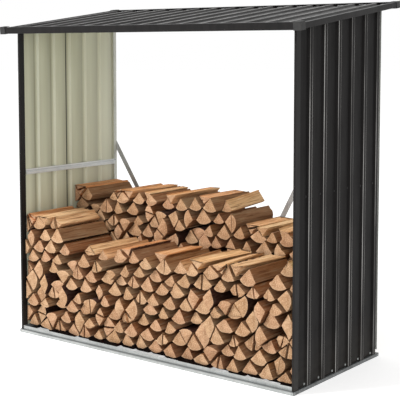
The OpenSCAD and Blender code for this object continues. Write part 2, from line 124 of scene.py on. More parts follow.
def band(mat, value, middle, flat, edge):
    """1 within flat of a middle value, falling to 0 at a distance of edge."""
    off = maths(mat, "ABSOLUTE", maths(mat, "SUBTRACT", value, middle))
    return between(mat, off, flat, edge, 1, 0)


def galvanised(name, axis, tones, fold_z=None, fold_shade_share=0.7):
    """Zinc coat on rolled strip: streaks along it, faint spangle, dull patches, painted shade in a
    fold.

    The tones are the plain, the bright and the dull one.
    """
    def colour(mat):
        streaks = noise(mat, where(mat), along(axis, 2.2, 170), 4)
        patches = noise(mat, where(mat), (9, 9, 9), 3)
        cells = add(mat, "TexVoronoi", {"Vector": where(mat), "Scale": 95.0}).outputs["Color"]
        spangle = add(mat, "SeparateColor", {0: cells}).outputs[0]
        base = blend(mat, between(mat, streaks, 0.3, 0.7), tones[0], tones[1])
        base = blend(mat, between(mat, patches, 0.45, 0.75, 0, 0.5), base, tones[2])
        base = blend(mat, between(mat, spangle, 0, 1, 0, 0.12), base, rgb(236, 240, 242))
        if fold_z is None:
            return base
        # Painted shade: a dark line along the fold, where the crease lies in shadow
        fold_shade = band(mat, place_on(mat, "Z"), fold_z, 0.8 * MM, 2.2 * MM)
        return blend(mat, maths(mat, "MULTIPLY", fold_shade, fold_shade_share), base, rgb(70, 73, 75))

    def roughness(mat):
        return between(mat, noise(mat, where(mat), along(axis, 4, 60), 2), 0.3, 0.7, 0.32, 0.5)

    def height(mat):
        return noise(mat, where(mat), along(axis, 3, 260), 3)

    return coating(name, colour, roughness, height, 0.06 * MM, metallic=0.35)


def dress(names, mat, radius):
    """Gives CAD nodes their material, and rounds their folds to a radius."""
    for name in names:
        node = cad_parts[name]
        if not node.material_slots:
            node.data.materials.append(None)
        for slot in node.material_slots:
            slot.material = mat
        weld = node.modifiers.new("weld", "WELD")
        weld.merge_threshold = 0.01 * MM
        bevel = node.modifiers.new("fold", "BEVEL")
        bevel.width = radius
        bevel.segments = 2
        bevel.limit_method = "ANGLE"
        bevel.angle_limit = math.radians(20)
        bevel.use_clamp_overlap = True


zinc_tones = [rgb(158, 162, 161), rgb(184, 187, 185), rgb(134, 138, 137)]
ledge_h = 14 * MM
# The base rails take a painted shade line along the fold of the ledge
zinc_x = galvanised("galvanised_along_x", "X", zinc_tones, ledge_h)
# Painted shade: the side rails get darker copies of the zinc tones than the front and rear rails
shaded_side_tones = [rgb(84, 86, 86), rgb(112, 115, 115), rgb(66, 68, 68)]
shaded_zinc_y = galvanised("shaded_galvanised_along_y", "Y", shaded_side_tones, ledge_h)
dress(["base_rail_front", "base_rail_rear"], zinc_x, 0.4 * MM)
dress(["base_rail_left", "base_rail_right"], shaded_zinc_y, 0.4 * MM)

# Pan-head screws with flat washers and a round socket in the head, turned from
# one profile. They hold the mitred corners of the base together.


def lathe(points, sides):
    """Vertices and faces of a turned profile of (radius, height) points, closed at its end."""
    verts = []
    faces = []
    for r, h in points:
        for k in range(sides):
            a = 2 * math.pi * k / sides
            verts.append(Vector((r * math.cos(a), r * math.sin(a), h)))
    for i in range(len(points) - 1):
        for k in range(sides):
            j = (k + 1) % sides
            faces.append((i * sides + k, i * sides + j, (i + 1) * sides + j, (i + 1) * sides + k))
    faces.append(tuple((len(points) - 1) * sides + k for k in range(sides)))
    return verts, faces


def screw_shape(head_r):
    """Washer and pan head of a screw that points out along Z."""
    washer_r = 1.45 * head_r
    washer_t = 0.18 * head_r
    profile = [(washer_r, 0), (washer_r, washer_t), (head_r, washer_t)]
    for step in range(4):
        a = math.radians(30 * step)
        r = head_r * (0.45 + 0.55 * math.cos(a))
        profile.append((r, washer_t + head_r * (0.25 + 0.4 * math.sin(a))))
    socket_r = 0.3 * head_r
    profile += [(socket_r, washer_t + 0.62 * head_r), (0.6 * socket_r, washer_t + 0.3 * head_r)]
    return lathe(profile, 16)


def make_mesh(name, verts, faces, finishes):
    mesh = bpy.data.meshes.new(name)
    mesh.from_pydata(verts, [], faces)
    for finish in finishes:
        mesh.materials.append(finish)
    return mesh


def shade_smooth(mesh, angle):
    """Shades a mesh smooth, but for edges sharper than an angle in degrees."""
    mesh.shade_smooth()
    mesh.set_sharp_from_angle(angle=math.radians(angle))


def place_piece(name, mesh):
    """Puts a mesh into the scene as a piece of the store."""
    piece = bpy.data.objects.new(name, mesh)
    bpy.context.scene.collection.objects.link(piece)
    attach(piece, "root")
    return piece


def screws(name, places, head_r, mat):
    """One piece of many screws; places are (point, outward direction) pairs."""
    shape, shape_faces = screw_shape(head_r)
    verts = []
    faces = []
    for point, out in places:
        turn = Vector(out).to_track_quat("Z", "Y").to_matrix()
        first = len(verts)
        verts += [Vector(point) + turn @ v for v in shape]
        faces += [tuple(first + k for k in face) for face in shape_faces]
    mesh = make_mesh(name, verts, faces, [mat])
    shade_smooth(mesh, 35)
    place_piece(name, mesh)


base_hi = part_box("base_rail_front")[1]
half_w = base_hi.x
half_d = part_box("base_rail_rear")[1].y
rail_h = base_hi.z
corner_in = 9 * MM
corner_screws = []
for side in (-1, 1):
    for end in (-1, 1):
        on_end = (side * (half_w - corner_in), end * half_d, ledge_h / 2)
        on_side = (side * half_w, end * (half_d - corner_in), ledge_h / 2)
        corner_screws += [(on_end, (0, end, 0)), (on_side, (side, 0, 0))]
screws("base_corner_screws", corner_screws, 2.6 * MM, zinc_x)

# ---------------------------------------------------------------------------
# Wall sheets. Profiled steel sheet, coated anthracite outside and pale sage
# inside, standing on the base ledge. The front sheet laps over a rib of the rear
# one, a soft black strip along the lap is painted shade for the shadow in it, and
# screws hold the pans to the frame.


def facing(mat, axis):
    """One component of the surface's own direction."""
    normal = add(mat, "NewGeometry").outputs["Normal"]
    return add(mat, "SeparateXYZ", {0: normal}).outputs[axis]


def rib_phase(mat, place, rib):
    """0 at the middle of a rib, rising to 1 at the middle of the next one."""
    steps = maths(mat, "DIVIDE", maths(mat, "SUBTRACT", place, rib), rib_pitch)
    return maths(mat, "FRACT", steps)


def painted_fold_highlights(mat, phase, spread, width=1.0):
    """Painted highlights: bright lines on the two upper folds of each rib, broken up along them."""
    fold = crest_half / rib_pitch
    rear = band(mat, phase, fold, 0.006 * width, 0.018 * width)
    front = maths(mat, "MULTIPLY", band(mat, phase, 1 - fold, 0.006 * width, 0.016 * width), 0.65)
    highlight_breaks = between(mat, noise(mat, where(mat), spread, 3), 0.42, 0.6, 0.25, 1)
    return maths(mat, "MULTIPLY", maths(mat, "MAXIMUM", rear, front), highlight_breaks)


def sheet_top(y):
    """Height of the rear sheets' sloping top edge."""
    return rear_sheet[1].z - (rear_sheet[1].y - y) * math.tan(roof_slope)


rear_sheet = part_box("right_wall_sheet_rear")
sheet_t = 1.2 * MM
rib_pitch = 106.5 * MM
crest_half = 9 * MM
rib_edge = 23 * MM
last_rib = rear_sheet[1].y - rib_edge
roof_slope = math.radians(7.8)
anthracite = rgb(21, 20, 20)
# Painted highlight colour for the ribs' folds
fold_highlight_white = rgb(226, 224, 221)
sage = rgb(209, 212, 190)
sage_dull = rgb(193, 195, 172)


def dark_coat(mat, axis):
    """Anthracite coat with faint streaks along the sheet and a little dust low down."""
    streaks = noise(mat, where(mat), along(axis, 1.5, 55), 4)
    specks = noise(mat, where(mat), (420, 420, 420), 2)
    base = blend(mat, between(mat, streaks, 0.35, 0.7), anthracite, rgb(29, 27, 27))
    base = blend(mat, between(mat, specks, 0.62, 0.8, 0, 0.35), base, rgb(52, 50, 49))
    low = between(mat, place_on(mat, "Z"), 0.02, 0.22, 0.14, 0)
    dust_and_painted_shade = maths(mat, "MULTIPLY", low, noise(mat, where(mat), (12, 12, 30), 4))
    return blend(mat, dust_and_painted_shade, base, rgb(128, 122, 112))


def sage_coat(mat, axis):
    """Pale sage coat, a little uneven along the sheet, with a few specks."""
    patches = noise(mat, where(mat), along(axis, 1.2, 14), 3)
    specks = noise(mat, where(mat), (300, 300, 300), 2)
    base = blend(mat, between(mat, patches, 0.35, 0.65), sage, sage_dull)
    return blend(mat, between(mat, specks, 0.6, 0.8, 0, 0.12), base, rgb(120, 118, 98))


def wall_colour(mat):
    """Anthracite outside with painted fold highlights and rib sheen; sage inside, with painted
    shade and a painted highlight in the ribs' hollows and painted light to the rear.

    The places across the sheet are shares of the pitch: a rib's foot ends at 0.15.
    """
    inside = maths(mat, "MULTIPLY", facing(mat, "X"), place_on(mat, "X"))
    inside = between(mat, inside, -0.2, -0.1, 1, 0)
    phase = rib_phase(mat, place_on(mat, "Y"), last_rib)
    # Painted reflection: the anthracite lighter on each rib and the pan just behind it
    rib_sheen = between(mat, phase, 0.15, 0.5, 0.25, 0)
    outside = blend(mat, rib_sheen, dark_coat(mat, "Z"), rgb(62, 61, 60))
    # Painted highlights on the ribs' upper folds
    outside = blend(mat, painted_fold_highlights(mat, phase, (0, 9.4, 1.6)), outside, fold_highlight_white)
    # Painted shade: the sage darkens towards each rib from the front, with a darker line on the
    # rib's front flank
    dust_and_painted_shade = maths(mat, "MAXIMUM", between(mat, phase, 0.5, 0.86, 0, 0.35),
                 maths(mat, "MULTIPLY", band(mat, phase, 0.9, 0.03, 0.06), 0.8))
    coat = blend(mat, dust_and_painted_shade, sage_coat(mat, "Z"), rgb(112, 112, 94))
    # Painted highlight: a light line on the rib's rear flank
    groove_highlight = maths(mat, "MULTIPLY", band(mat, phase, 0.125, 0.03, 0.06), 0.6)
    coat = blend(mat, groove_highlight, coat, rgb(232, 233, 214))
    # Painted light: the sage lighter towards the open rear
    rear_light = between(mat, place_on(mat, "Y"), 0.0, 0.3, 0, 0.4)
    coat = blend(mat, rear_light, coat, rgb(240, 242, 226))
    return blend(mat, inside, outside, coat)


def coat_roughness(mat):
    return between(mat, noise(mat, where(mat), (30, 30, 8), 3), 0.3, 0.7, 0.34, 0.48)


def orange_peel(mat):
    return noise(mat, where(mat), (600, 600, 600), 2)


wall_coat = coating("two_sided_wall_coat", wall_colour, coat_roughness, orange_peel, 0.03 * MM,
                    specular=0.06)
wall_nodes = [f"{side}_wall_sheet_{end}" for side in ("left", "right") for end in ("front", "rear")]
dress(wall_nodes, wall_coat, sheet_t)


def strip_colour(mat):
    return blend(mat, noise(mat, where(mat), (80, 80, 80), 3), rgb(22, 22, 21), rgb(38, 38, 36))


def strip_height(mat):
    return noise(mat, where(mat), (260, 260, 60), 2)


def turn_faces_out(mesh):
    solid = bmesh.new()
    solid.from_mesh(mesh)
    bmesh.ops.recalc_face_normals(solid, faces=solid.faces)
    solid.to_mesh(mesh)
    solid.free()


def lap_shade_strips(name, mat):
    """A soft black strip down the inside of each wall, along the edge of the rear sheet: painted
    shade for the shadow in the lap.
    """
    seam_y = rear_sheet[0].y
    verts = []
    faces = []
    # Places before the edge and rises from the sheet, in millimetres
    profile = [(-5, 0), (-4.6, 0.7), (-2.6, 1.1), (-0.8, 0.7), (-0.4, 0)]
    rows = 24
    thumbed = 0.15 * MM
    foot = rear_sheet[0].z + MM
    top = sheet_top(seam_y) - 2 * MM
    for side in (-1, 1):
        first = len(verts)
        for row in range(rows + 1):
            z = foot + (top - foot) * row / rows
            for y, rise in profile:
                wave = thumbed * math.sin(9.0 * row) if rise else 0
                verts.append((side * (rear_sheet[0].x - rise * MM - wave), seam_y + y * MM, z))
        n = len(profile)
        for row in range(rows):
            for k in range(n):
                a, b = first + row * n + k, first + row * n + (k + 1) % n
                faces.append((a, b, b + n, a + n))
        faces.append(tuple(first + k for k in range(n)))
        faces.append(tuple(first + rows * n + k for k in range(n)))
    mesh = make_mesh(name, verts, faces, [mat])
    turn_faces_out(mesh)
    place_piece(name, mesh)


# Painted shade: the strip is near black to stand for the shadow in the lap
strip_coat = coating("black_lap_shade_strip", strip_colour, coat_roughness, strip_height, 0.1 * MM,
                     specular=0.15)
lap_shade_strips("wall_lap_shade_strips", strip_coat)

# Screws through the pans beside each rib: a bright row into the base, one into the
# middle rail and one into the top rail with heads painted to match the sheet.


def dark_finish(mat):
    return dark_coat(mat, "Z")


head_coat = coating("painted_screw_heads", dark_finish, coat_roughness, orange_peel,
                    0.03 * MM, specular=0.35)
pan_x = rear_sheet[0].x + sheet_t
beside_rib = 22 * MM
wall_ribs = 6
mid_rail_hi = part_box("right_mid_rail")[1]
foot_row_z = ledge_h + 9 * MM
mid_row_z = mid_rail_hi.z - 7 * MM
foot_screws = []
wall_screws = []
for k in range(wall_ribs):
    y = last_rib - k * rib_pitch - beside_rib
    for side in (-1, 1):
        foot_screws.append(((side * pan_x, y, foot_row_z), (side, 0, 0)))
        for z in (mid_row_z, sheet_top(y) - 11 * MM):
            wall_screws.append(((side * pan_x, y, z), (side, 0, 0)))
screws("wall_foot_screws", foot_screws, 3.6 * MM, zinc_x)
screws("wall_screws", wall_screws, 3.2 * MM, head_coat)

# ---------------------------------------------------------------------------
# Corner posts. Front: an anthracite trim folded round the sheets' front edge.
# Rear: a galvanised angle inside the sheets' rear edge.

trim_coat = coating("anthracite_trim_coat", dark_finish, coat_roughness, orange_peel, 0.03 * MM,
                    specular=0.15)
dress(["front_left_post", "front_right_post"], trim_coat, 0.5 * MM)
post_tones = [rgb(176, 178, 170), rgb(198, 200, 191), rgb(158, 160, 152)]
zinc_z = galvanised("galvanised_along_z", "Z", post_tones)
dress(["rear_left_post", "rear_right_post"], zinc_z, 0.4 * MM)

# ---------------------------------------------------------------------------
# Middle rails and top rails. Rolled galvanised sections that stiffen the walls
# and carry the roof; each middle rail ends in a tab screwed to the rear post.

mid_tones = [rgb(196, 199, 199), rgb(216, 219, 219), rgb(172, 175, 176)]
# Painted shade: a fainter dark line along the middle rails' lower fold
mid_fold_z = mid_rail_hi.z - 8 * MM
mid_zinc = galvanised("galvanised_rail", "Y", mid_tones, mid_fold_z, 0.3)
top_tones = [rgb(170, 175, 176), rgb(198, 203, 204), rgb(146, 151, 153)]
dress(["left_mid_rail", "right_mid_rail"], mid_zinc, 0.3 * MM)
dress(["left_top_rail", "right_top_rail"], galvanised("galvanised_top_y", "Y", top_tones), 0.3 * MM)
dress(["front_top_rail", "rear_top_rail"], galvanised("galvanised_top_x", "X", top_tones), 0.3 * MM)
tab_face = rear_sheet[0].x - 2.7 * MM
tab_y = mid_rail_hi.y - 7 * MM
tab_z = mid_rail_hi.z - 6 * MM
tab_screws = [((side * tab_face, tab_y, tab_z), (-side, 0, 0)) for side in (-1, 1)]
screws("mid_rail_screws", tab_screws, 3.4 * MM, zinc_x)

# ---------------------------------------------------------------------------
# Rear braces. Flat galvanised straps across the open back, each bolted to a
# rear post at the top and to the rear base rail at the foot.

brace_tones = [rgb(166, 168, 170), rgb(190, 192, 194), rgb(146, 149, 152)]
zinc_brace = galvanised("galvanised_brace", "Z", brace_tones)
dress(["left_rear_brace", "right_rear_brace"], zinc_brace, 0.4 * MM)
brace_bolts = []
for side, name in ((-1, "left_rear_brace"), (1, "right_rear_brace")):
    lo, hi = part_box(name)
    top_x = side * (max(abs(lo.x), abs(hi.x)) - 5 * MM)
    foot_x = (hi.x if side < 0 else lo.x) + side * 14 * MM
    for x, z in ((top_x, hi.z - 14 * MM), (foot_x, lo.z + 9 * MM)):
        brace_bolts.append(((x, hi.y, z), (0, 1, 0)))
        brace_bolts.append(((x, lo.y, z), (0, -1, 0)))
screws("brace_bolts", brace_bolts, 4 * MM, zinc_x)

# ---------------------------------------------------------------------------
# Roof. Four profiled sheets, anthracite on top and sage underneath, lapped
# from the right and screwed through the pans into the front and rear top rails.
# A strip over foam blocks closes the ribs' rear ends.

right_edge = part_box("front_right_cap")[1].x
first_rib = right_edge - 2 * MM
roof_ribs = 16


def roof_colour(mat):
    """Anthracite on top with painted fold highlights and a painted shade line beside each rib; sage
    beneath.
    """
    under = between(mat, facing(mat, "Z"), -0.3, -0.1, 1, 0)
    phase = rib_phase(mat, place_on(mat, "X"), first_rib)
    weather = noise(mat, where(mat), (14, 2, 14), 4)
    top = blend(mat, between(mat, weather, 0.35, 0.7, 0, 0.6), dark_coat(mat, "Y"), rgb(62, 61, 60))
    # Painted highlights on the ribs' folds
    fold_highlights = painted_fold_highlights(mat, phase, (9.4, 2.5, 0), 1.4)
    top = blend(mat, maths(mat, "MULTIPLY", fold_highlights, 0.6), top, fold_highlight_white)
    # Painted shade: a dark line in the valley beside each rib
    valley_shade = band(mat, phase, 1 - 19 * MM / rib_pitch, 0.015, 0.04)
    top = blend(mat, maths(mat, "MULTIPLY", valley_shade, 0.8), top, rgb(12, 12, 12))
    return blend(mat, under, top, sage_coat(mat, "Y"))


roof_coat = coating("two_sided_roof_coat", roof_colour, coat_roughness, orange_peel, 0.03 * MM,
                    specular=0.2)
dress([f"roof_sheet_{k}" for k in (1, 2, 3, 4)], roof_coat, sheet_t)

roof_lo, roof_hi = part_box("roof_sheet_4")
up_slope = Vector((0, math.cos(roof_slope), math.sin(roof_slope)))
out_of_roof = Vector((0, -math.sin(roof_slope), math.cos(roof_slope)))
front_pan = Vector((0, roof_lo.y, roof_lo.z + 1.25 * MM))
roof_len = (roof_hi.y - roof_lo.y) / math.cos(roof_slope)
roof_screws = []
for k in range(1, roof_ribs):
    for s in (62 * MM, roof_len - 78 * MM):
        x = right_edge - (k + 0.5) * rib_pitch
        if x > -right_edge + 30 * MM:
            roof_screws.append((front_pan + Vector((x, 0, 0)) + up_slope * s, out_of_roof))
screws("roof_screws", roof_screws, 3.6 * MM, head_coat)


def bar(verts, faces, corners, x0, x1):
    """Adds a bar along X from x0 to x1 whose ends have these (Y, Z) corners."""
    first = len(verts)
    n = len(corners)
    verts += [(x0, y, z) for y, z in corners] + [(x1, y, z) for y, z in corners]
    faces.append(tuple(first + k for k in range(n)))
    faces.append(tuple(first + n + k for k in reversed(range(n))))
    for k in range(n):
        j = (k + 1) % n
        faces.append((first + j, first + k, first + n + k, first + n + j))


def rear_flashing(name, mat):
    """Thin strip over the ribs' rear ends, with a foam block in each valley under it."""
    verts = []
    faces = []
    crest = 8.1 * MM
    pan = 1.4 * MM
    back = roof_len - 1.5 * MM
    inside = right_edge - 24 * MM
    foot_half = 16.5 * MM
    widen = 6.5 * MM

    def section(s0, s1, h0, h1):
        """Corners of a section between two places up the slope and two heights over the pan."""
        corners = [front_pan + up_slope * s + out_of_roof * h
                   for s, h in ((s0, h0), (s1, h0), (s1, h1), (s0, h1))]
        return [(corner.y, corner.z) for corner in corners]

    bar(verts, faces, section(back - 22 * MM, back, crest, crest + sheet_t), -inside, inside)
    block = section(back - 12 * MM, back - 4 * MM, pan, crest)
    ribs = [first_rib - k * rib_pitch for k in range(roof_ribs)]
    for right, left in zip(ribs, ribs[1:]):
        x0 = max(left + foot_half, -inside)
        x1 = min(right - foot_half, inside)
        if x1 - x0 < 10 * MM:
            continue
        first = len(verts)
        bar(verts, faces, block, x0, x1)
        # Wider at the top, as the ribs lean back
        for k in (2, 3):
            verts[first + k] = (x0 - widen, *block[k])
            verts[first + 4 + k] = (x1 + widen, *block[k])
    mesh = make_mesh(name, verts, faces, [mat])
    turn_faces_out(mesh)
    place_piece(name, mesh)


rear_flashing("rear_flashing", trim_coat)

# ---------------------------------------------------------------------------
# Roof trims. Folded anthracite fascias and verges round the sheets' edges, and
# moulded plastic caps over the four corners.

dress(["front_fascia", "rear_fascia", "left_verge_trim", "right_verge_trim"], trim_coat, 0.5 * MM)


def cap_colour(mat):
    patches = noise(mat, where(mat), (60, 60, 60), 3)
    return blend(mat, between(mat, patches, 0.35, 0.65), rgb(36, 36, 36), rgb(46, 45, 44))


def cap_roughness(mat):
    return between(mat, noise(mat, where(mat), (200, 200, 200), 2), 0.3, 0.7, 0.5, 0.65)


def moulded_grain(mat):
    return noise(mat, where(mat), (900, 900, 900), 2)


cap_plastic = coating("moulded_cap_plastic", cap_colour, cap_roughness, moulded_grain, 0.08 * MM,
                      specular=0.35)
cap_nodes = [f"{end}_{side}_cap" for end in ("front", "rear") for side in ("left", "right")]
dress(cap_nodes, cap_plastic, 1.0 * MM)

# ---------------------------------------------------------------------------
# Firewood. Round logs sawn to length and split by axe into wedges: a sawn face
# at each end, two split faces that meet at the heart, and bark on the outside.

SPLIT, BARK, SAWN = 0, 1, 2
SIDE_POINTS = 9  # along each split face
BARK_POINTS = 12  # round the back
ARC_STEPS = 7  # round the back of a CAD wedge before its neighbours cut it
RINGS = 13  # along the log


def cross_sections(node):
    """The prisms in a CAD node of logs: (points in X and Z, front Y, back Y) of each."""
    mesh = bmesh.new()
    mesh.from_mesh(node.data)
    bmesh.ops.remove_doubles(mesh, verts=mesh.verts, dist=0.01 * MM)
    seen = set()
    found = []
    for start in mesh.verts:
        if start in seen:
            continue
        group = []
        stack = [start]
        seen.add(start)
        while stack:
            vert = stack.pop()
            group.append(vert.co.copy())
            for edge in vert.link_edges:
                other = edge.other_vert(vert)
                if other not in seen:
                    seen.add(other)
                    stack.append(other)
        front = min(p.y for p in group)
        back = max(p.y for p in group)
        points = np.array([(p.x, p.z) for p in group if p.y < (front + back) / 2])
        middle = points.mean(0)
        points = points[np.argsort(np.arctan2(points[:, 1] - middle[1], points[:, 0] - middle[0]))]
        found.append((points, front, back))
    mesh.free()
    return sorted(found, key=lambda s: (round(s[0][:, 1].mean(), 4), round(s[0][:, 0].mean(), 4)))


def spoke_angles(points, corner):
    """Angles at which a corner sees the other points, in their order."""
    spokes = np.roll(points, -corner, 0)[1:] - points[corner]
    return np.unwrap(np.arctan2(spokes[:, 1], spokes[:, 0]))


def heart_of(points):
    """Index of a wedge's heart: the corner that sees the points of the bark at even steps."""
    def unevenness(corner):
        angles = spoke_angles(points, corner)
        turn = abs(angles[-1] - angles[0])
        steps = np.abs(np.diff(angles)) * ARC_STEPS / turn
        return np.abs(steps - np.round(steps)).max() + 0.01 * turn
    return min(range(len(points)), key=unevenness)


def heading(angle):
    return np.array([math.cos(angle), math.sin(angle)])


def reach(points, start, angle):
    """Distance from a point inside an outline to the outline, at an angle."""
    way = heading(angle)
    edge = np.roll(points, -1, 0) - points
    cross = way[0] * edge[:, 1] - way[1] * edge[:, 0]
    cross[np.abs(cross) < 1e-9] = 1e-9
    to_edge = points - start
    t = (to_edge[:, 0] * edge[:, 1] - to_edge[:, 1] * edge[:, 0]) / cross
    return t[t > 0].min()


def wedge_outline(points, tip, a0, a1, gap, dice, bark):
    """Outline of a wedge that lies a little inside a polygon, each point's kind, and its heart.

    The split faces leave the tip at the angles a0 and a1.
    """
    half = (a1 - a0) / 2
    tip = tip + gap / math.sin(abs(half)) * heading((a0 + a1) / 2)
    blunt = dice.choice([1, 1.5, 1.5, 2, 3, 5, 10]) * MM
    radius = (reach(points, tip, a0) + reach(points, tip, a1)) / 2 * dice.uniform(0.96, 1.08)

    def side(angle):
        far = min(reach(points, tip, angle) - 0.5 * gap, 1.04 * radius)
        steps = [blunt + (far - blunt) * k / (SIDE_POINTS - 0.4) for k in range(SIDE_POINTS)]
        return [tip + step * heading(angle) for step in steps]

    outline = side(a0)
    for k in range(BARK_POINTS):
        angle = a0 + (a1 - a0) * k / (BARK_POINTS - 1)
        far = min(reach(points, tip, angle) - gap, radius)
        outline.append(tip + far * heading(angle))
    outline += side(a1)[::-1]
    kinds = [SPLIT] * SIDE_POINTS + [BARK if bark else SPLIT] * BARK_POINTS + [SPLIT] * SIDE_POINTS
    return np.array(outline), np.array(kinds), tip


def slab_outline(points, gap):
    """Outline of a thin split that lies on the ground."""
    middle = points.mean(0)
    count = 2 * SIDE_POINTS + BARK_POINTS
    angles = np.linspace(0, 2 * math.pi, count, endpoint=False)
    outline = [middle + (reach(points, middle, a) - gap) * heading(a) for a in angles]
    return np.array(outline), np.zeros(count, int), middle


def ripples(dice, count, across, lengthways):
    """A smooth random function, 0 to 1, of the place round a log's outline and along the log."""
    waves = [(dice.uniform(*across), dice.uniform(*lengthways), dice.uniform(0, 6.3))
             for _ in range(count)]

    def value(s, y):
        total = sum(np.sin(a * s + b * y + phase) for a, b, phase in waves)
        return 0.5 + 0.5 * total / count
    return value


def loft(outline, kinds, heart, front, back, dice, relief):
    """Vertices, faces, kinds and grain coordinates of one log with this outline.

    Fibres and a torn ledge run along the split faces, plates of bark round the back.
    """
    count = len(outline)
    middle = outline.mean(0)
    s = np.concatenate([[0], np.cumsum(np.linalg.norm(np.diff(outline, axis=0), axis=1))])
    onward = np.roll(outline, -1, 0) - np.roll(outline, 1, 0)
    inward = np.stack([-onward[:, 1], onward[:, 0]], 1)
    inward /= np.linalg.norm(onward, axis=1)[:, None] + 1e-9
    inward *= np.sign(((middle - outline) * inward).sum(1))[:, None]
    fibres = ripples(dice, 6, (150, 430), (2, 16))
    waves = ripples(dice, 3, (20, 90), (5, 14))
    plates = ripples(dice, 5, (180, 420), (60, 160))
    ledge_at = dice.uniform(0.1, 0.9) * s[-1]
    ledge_w = dice.uniform(5, 12) * MM
    ledge_d = dice.uniform(0.5, 3) * MM
    thick_end = dice.choice([0, 1])
    taper = dice.uniform(0, 0.07)
    tilt = np.array([dice.uniform(-0.04, 0.04), dice.uniform(-0.04, 0.04)])
    shift = dice.uniform(0, 40)
    split = kinds != BARK
    rings = []
    for k in range(RINGS):
        t = k / (RINGS - 1)
        y = front + (back - front) * t
        rough = split * (1.6 * MM * fibres(s, y) + 1.8 * MM * waves(s, y))
        rough = rough + ~split * 2.2 * MM * plates(s, y)
        drift = ledge_at + 8 * MM * math.sin(9 * y + shift)
        rough = rough + split * ledge_d * (np.abs(s - drift) < ledge_w)
        ring = outline + inward * (relief * rough)[:, None]
        ring = middle + (ring - middle) * (1 - taper * relief * abs(t - thick_end))
        end = (ring - middle) @ tilt if k in (0, RINGS - 1) else 0.0
        rings.append(np.column_stack([ring[:, 0], np.full(count, y) + end, ring[:, 1]]))
    # Chips out of the rims, and a cap a little smaller than each end
    for ring, way in ((rings[0], -1), (rings[-1], 1)):
        chips = 2.5 * MM * np.maximum(0, waves(s * 4, 0) - 0.72) / 0.28
        ring[:, 1] -= way * chips
        cap = ring.copy()
        cap[:, [0, 2]] += (middle - cap[:, [0, 2]]) * 0.035
        cap[:, 1] = cap[:, 1] + way * (0.5 * MM + chips)
        rings.append(cap)
    order = [RINGS] + list(range(RINGS)) + [RINGS + 1]
    verts = np.concatenate([rings[k] for k in order])
    faces = []
    face_kinds = []
    for k in range(len(order) - 1):
        rim = k in (0, len(order) - 2)
        for i in range(count):
            j = (i + 1) % count
            faces.append((k * count + i, k * count + j, (k + 1) * count + j, (k + 1) * count + i))
            face_kinds.append(SAWN if rim else kinds[i] if kinds[i] == kinds[j] else SPLIT)
    faces.append(tuple(range(count)))
    faces.append(tuple((len(order) - 1) * count + k for k in range(count)))
    face_kinds += [SAWN, SAWN]
    grain = verts - np.array([heart[0], -shift, heart[1]])
    return verts, faces, face_kinds, grain


def lies_on_ground(points):
    return points[:, 1].max() < rail_h + MM


def build_log(section, dice, topmost):
    """The lofts of one log and its radius.

    Some logs are split once more, set back, smaller or leaning. Those on top, which
    nothing presses down, are rougher and lie askew.
    """
    points, front, back = section
    if lies_on_ground(points):
        outline, kinds, middle = slab_outline(points, 0.4 * MM)
        face = front + dice.uniform(50, 90) * MM
        return [loft(outline, kinds, middle, face, back, dice, 0.15)], 80 * MM
    corner = heart_of(points)
    angles = spoke_angles(points, corner)
    a0, a1 = angles[0], angles[-1]
    radius = np.linalg.norm(points - points[corner], axis=1).max()
    bark = dice.random() < (0.1 if topmost else 0.25)
    gap = dice.uniform(0.6, 2.6) * MM
    set_back = dice.uniform(8, 30) * MM if dice.random() < 0.18 else dice.uniform(0, 11) * MM
    relief = 2.0 if topmost else 1.0
    cut = a0 + (a1 - a0) * dice.uniform(0.38, 0.62)
    parts = [(a0, cut), (cut, a1)] if dice.random() < 0.16 else [(a0, a1)]
    lofts = []
    size = dice.choice([1, dice.uniform(0.84, 0.97)])
    seat = points[points[:, 1].argmin()]
    # A smaller log has room to lean, a log by a wall has none
    lean = math.radians(dice.uniform(-3, 3) if size == 1 else dice.uniform(-9, 9))
    by_wall = np.abs(points[:, 0]).max() > rear_sheet[0].x - 30 * MM
    cos, sin = (1.0, 0.0) if by_wall else (math.cos(lean), math.sin(lean))
    leaned = np.array([[cos, sin], [-sin, cos]])
    for start, end in parts:
        outline, kinds, tip = wedge_outline(points, points[corner], start, end, gap, dice, bark)
        outline = seat + (outline - seat) @ leaned * size
        step_back = dice.uniform(0, 9) * MM if len(parts) > 1 else 0
        face = front + set_back + step_back
        lofts.append(loft(outline, kinds, tip, face, back, dice, relief))
    if topmost and dice.random() < 0.8 and abs(points[:, 0].mean()) < half_w - 90 * MM:
        yaw = dice.choice([-1, 1]) * math.radians(dice.uniform(1.5, 6))
        pitch = math.radians(dice.uniform(-2, 2))
        middle = Vector((points[:, 0].mean(), (front + back) / 2, points[:, 1].mean()))
        lift = (back - front) / 4 * (abs(math.sin(yaw)) + abs(math.sin(pitch)))
        turn = (Matrix.Translation(middle + Vector((0, 0, lift))) @ Matrix.Rotation(yaw, 4, "Z")
                @ Matrix.Rotation(pitch, 4, "X") @ Matrix.Translation(-middle))
        turn = np.array(turn)
        for verts, *_ in lofts:
            verts[:] = verts @ turn[:3, :3].T + turn[:3, 3]
    return lofts, radius


def grain_place(mat):
    """Place in a log's own frame: its heart runs along Y."""
    return add(mat, "Attribute", attribute_name="grain").outputs["Vector"]


def tone(mat, axis):
    """X: how dark the log is. Y: how red it is. Z: its radius in metres."""
    vector = add(mat, "Attribute", attribute_name="tone").outputs["Vector"]
    return add(mat, "SeparateXYZ", {0: vector}).outputs[axis]


def painted_stack_shade(mat):
    """Painted shade: how far a log lies in the dark inside the stack, 0 to 1."""
    return add(mat, "Attribute", attribute_name="painted_stack_shade").outputs["Fac"]


def heart_distance(mat):
    across = add(mat, "VectorMath", {0: grain_place(mat), 1: (1, 0, 1)}, operation="MULTIPLY")
    return add(mat, "VectorMath", {0: across.outputs[0]}, operation="LENGTH").outputs["Value"]


